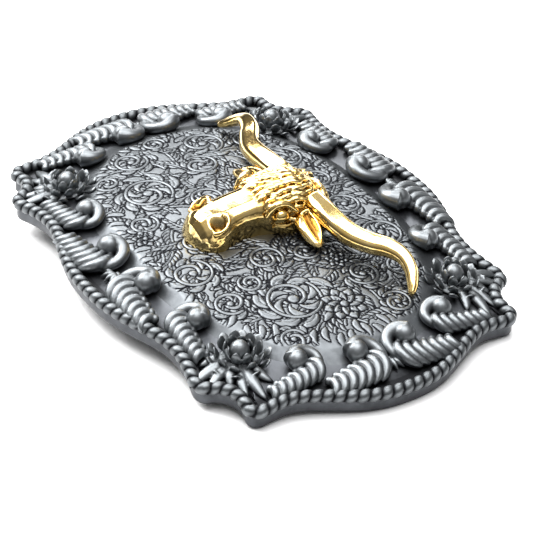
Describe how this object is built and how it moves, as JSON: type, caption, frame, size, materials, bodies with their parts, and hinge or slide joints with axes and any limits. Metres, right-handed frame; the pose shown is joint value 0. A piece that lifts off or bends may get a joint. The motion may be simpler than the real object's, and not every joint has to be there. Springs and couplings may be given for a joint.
{
  "type": "belt buckle",
  "caption": "Domed western trophy buckle with a rope edge, scrolls, flowers, an engraved panel and a cast steer head; a belt loop swings at the back opposite a fixed hook.",
  "frame": {"origin": "under the buckle's centre, level with the tip of the hook peg, its lowest point", "axes": "+X to the wearer-facing viewer's right, towards the belt loop; +Y up as worn; +Z out of the face"},
  "size_m": [0.0998, 0.0722, 0.0193],
  "materials": {
    "pewter_plate": "antique silver plate, satin",
    "pewter_engraved": "satin, with dark oxide left in the engraving",
    "pewter_rope": "antique silver, rubbed bright on its high parts",
    "pewter_ornament": "antique silver, rubbed bright on its high parts",
    "gold_casting": "polished gold plate",
    "post_brass": "as turned",
    "spring_steel": "zinc plated",
    "plated_hardware": "nickel plated, satin",
    "loop_wire": "nickel plated wire"
  },
  "bodies": {
    "buckle": {"base_plate": "pewter_plate", "engraved_panel": "pewter_engraved", "rope_edge": "pewter_rope", "flower_lower_left": "pewter_ornament", "flower_lower_right": "pewter_ornament", "flower_upper_right": "pewter_ornament", "flower_upper_left": "pewter_ornament", "scroll_lower_1": "pewter_ornament", "scroll_lower_2": "pewter_ornament", "scroll_lower_3": "pewter_ornament", "scroll_lower_4": "pewter_ornament", "scroll_right_1": "pewter_ornament", "scroll_right_2": "pewter_ornament", "scroll_right_3": "pewter_ornament", "scroll_right_4": "pewter_ornament", "scroll_upper_1": "pewter_ornament", "scroll_upper_2": "pewter_ornament", "scroll_upper_3": "pewter_ornament", "scroll_upper_4": "pewter_ornament", "scroll_left_1": "pewter_ornament", "scroll_left_2": "pewter_ornament", "scroll_left_3": "pewter_ornament", "scroll_left_4": "pewter_ornament", "fan_lower": "pewter_ornament", "fan_right": "pewter_ornament", "fan_upper": "pewter_ornament", "fan_left": "pewter_ornament", "steer_head": "gold_casting", "head_posts": "post_brass", "post_nuts": "spring_steel", "loop_bracket": "plated_hardware", "bracket_rivets": "plated_hardware", "hook_washer": "plated_hardware", "hook_peg": "plated_hardware"},
    "loop": {"belt_loop": "loop_wire"}
  },
  "joints": [
    {"name": "loop_swing", "type": "hinge", "parent": "buckle", "child": "loop", "pos_m": [0.014, 0, 0.00525], "axis": [0, 1, 0], "range_deg": [0, 165]}
  ]
}
